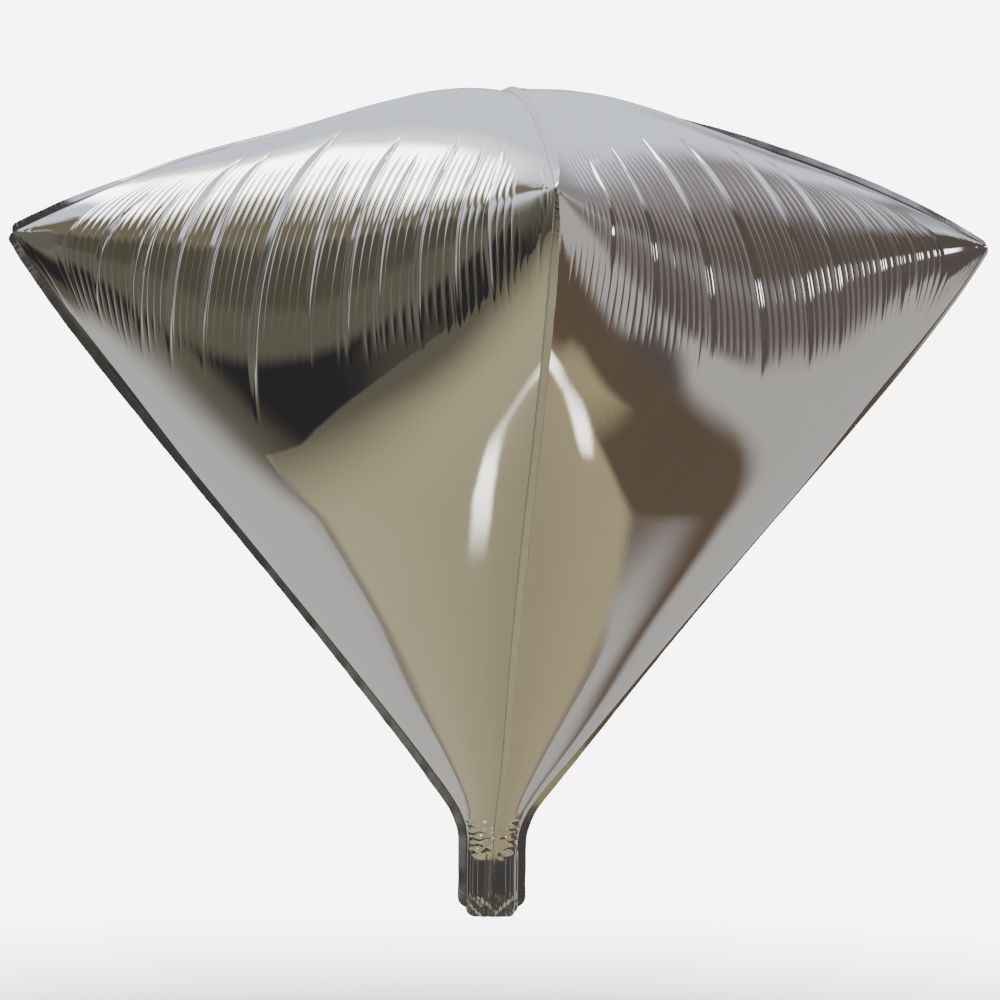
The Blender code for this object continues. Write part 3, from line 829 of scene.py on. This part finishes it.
def weld_strip(name, share, fold, crinkled, mirror, seed):
    """Adds a grid, lays it along a seam as a folded, crinkled flange, and gives it the film's thickness."""
    shape = weld_shape(share, fold, crinkled, seed)
    stations = len(shape) - 1
    bpy.ops.mesh.primitive_grid_add(x_subdivisions=WELD_LANES, y_subdivisions=stations, size=2.0)
    strip = bpy.context.object
    strip.name = name
    strip.data.name = name
    flat = np.empty(len(strip.data.vertices) * 3)
    strip.data.vertices.foreach_get("co", flat)
    flat = (flat.reshape(-1, 3) + 1.0) / 2.0
    lane = np.rint(flat[:, 0] * WELD_LANES).astype(int)
    station = np.rint(flat[:, 1] * stations).astype(int)
    shape = settle(shape * np.array([*mirror, 1.0]))
    strip.data.vertices.foreach_set("co", shape[station, lane].ravel())
    strip.data.update()
    if (mirror[0] * mirror[1] < 0) != (share < 0.0):
        bpy.ops.object.mode_set(mode="EDIT")
        bpy.ops.mesh.select_all(action="SELECT")
        bpy.ops.mesh.flip_normals()
        bpy.ops.object.mode_set(mode="OBJECT")
    bpy.ops.object.modifier_add(type="SOLIDIFY")
    strip.modifiers[0].thickness = WELD_FILM
    strip.modifiers[0].offset = 0.0
    bpy.ops.object.modifier_apply(modifier=strip.modifiers[0].name)
    bpy.ops.object.shade_smooth_by_angle(angle=math.radians(50.0))
    strip.select_set(False)
    return strip


welded = bpy.data.materials.new("welded film")
welded.use_nodes = True
tree = welded.node_tree
coat = tree.nodes["Principled BSDF"]
coat.inputs["Metallic"].default_value = 1.0
place = Wire(tree, tree.nodes.new("ShaderNodeTexCoord").outputs["Object"])
wear = place.node("ShaderNodeTexNoise", Vector=place, Scale=90.0, Detail=3.0)
wear = Wire(tree, wear.outputs[0])
tree.links.new(wear.mix((0.74, 0.74, 0.73, 1.0), (0.66, 0.66, 0.65, 1.0)).socket, coat.inputs["Base Color"])
tree.links.new((wear * 0.14 + 0.12).socket, coat.inputs["Roughness"])
press = place.node("ShaderNodeTexNoise", Vector=place, Scale=900.0, Detail=2.0)
fine = place.node("ShaderNodeBump", Strength=0.08, Distance=0.0003, Height=Wire(tree, press.outputs[0]))
tree.links.new(fine.outputs[0], coat.inputs["Normal"])

# Each fold is a row of points: a row of the film, and how far over the flange is laid there, from 0 for
# standing straight out to 1 for lying on the film.
RIGHT_FOLD = ((-2.0, 0.1), (-1.0, 0.1), (-0.85, 0.4), (-0.3, 0.55), (0.0, 0.45), (0.15, 0.2), (1.0, 0.15))
LEFT_FOLD = ((-2.0, 0.0), (-0.9, 0.02), (-0.4, 0.10), (0.0, 0.0), (0.10, 0.1), (0.25, 0.65), (1.0, 0.8))
FRONT_FOLD = (
    (-2.0, 0.9), (-0.7, 0.8), (-0.15, 0.6), (0.0, 0.33), (0.04, 0.42), (0.1, 0.57), (0.3, 0.8), (1.0, 0.9),
)
BACK_FOLD = ((-2.0, 0.7), (-0.6, 0.6), (-0.1, 0.1), (0.1, 0.1), (1.0, 0.7))

for name, node, share, fold, crinkled, mirror, seed in (
    ("weld_right", "seam_right", 1.0, RIGHT_FOLD, 0.25, (1, 1), 31),
    ("weld_left", "seam_left", 1.0, LEFT_FOLD, 0.6, (-1, 1), 32),
    ("weld_front", "seam_front", -1.0, FRONT_FOLD, 0.35, (1, 1), 33),
    ("weld_back", "seam_back", -1.0, BACK_FOLD, 0.5, (-1, -1), 34),
):
    strip = weld_strip(name, share, fold, crinkled, mirror, seed)
    strip.data.materials.append(welded)
    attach(strip, "root")
    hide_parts(node)


# Valve sleeve: two plies of clear film inside the tail, through which the balloon is filled and which the
# gas then presses shut. They are only seen from below, in the tail's open end.
VALVE_WIDTH = 0.021
VALVE_LENGTH = 0.046
VALVE_LIFT = 0.0012
VALVE_PLY = 0.00012
VALVE_WAVE = 0.0007

bpy.ops.mesh.primitive_cylinder_add(vertices=24, radius=1.0, depth=1.0, end_fill_type="NOTHING")
valve = bpy.context.object
valve.name = "valve_plies"
valve.data.name = "valve_plies"
bpy.ops.object.mode_set(mode="EDIT")
bpy.ops.mesh.select_all(action="SELECT")
bpy.ops.mesh.subdivide(number_cuts=20)
bpy.ops.object.mode_set(mode="OBJECT")
foot = -PAVILION_DROP - TAIL_LENGTH + 0.001
for vertex in valve.data.vertices:
    x, y, z = vertex.co
    rise = (z + 0.5) * VALVE_LENGTH
    wave = VALVE_WAVE * math.sin(420.0 * x * VALVE_WIDTH / 2.0 + 1.0) * math.cos(90.0 * rise)
    vertex.co = settle(np.array([x * VALVE_WIDTH / 2.0, y * VALVE_LIFT + wave, foot + rise]))
valve.data.update()
bpy.ops.object.modifier_add(type="SOLIDIFY")
valve.modifiers[0].thickness = VALVE_PLY
bpy.ops.object.modifier_apply(modifier=valve.modifiers[0].name)
bpy.ops.object.shade_smooth()
valve.select_set(False)

clear_film = bpy.data.materials.new("clear valve film")
clear_film.use_nodes = True
plastic = clear_film.node_tree.nodes["Principled BSDF"]
plastic.inputs["Base Color"].default_value = (0.80, 0.81, 0.80, 1.0)
plastic.inputs["Roughness"].default_value = 0.22
plastic.inputs["IOR"].default_value = 1.5
plastic.inputs["Alpha"].default_value = 0.45
valve.data.materials.append(clear_film)
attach(valve, "root")
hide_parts("valve_sleeve")
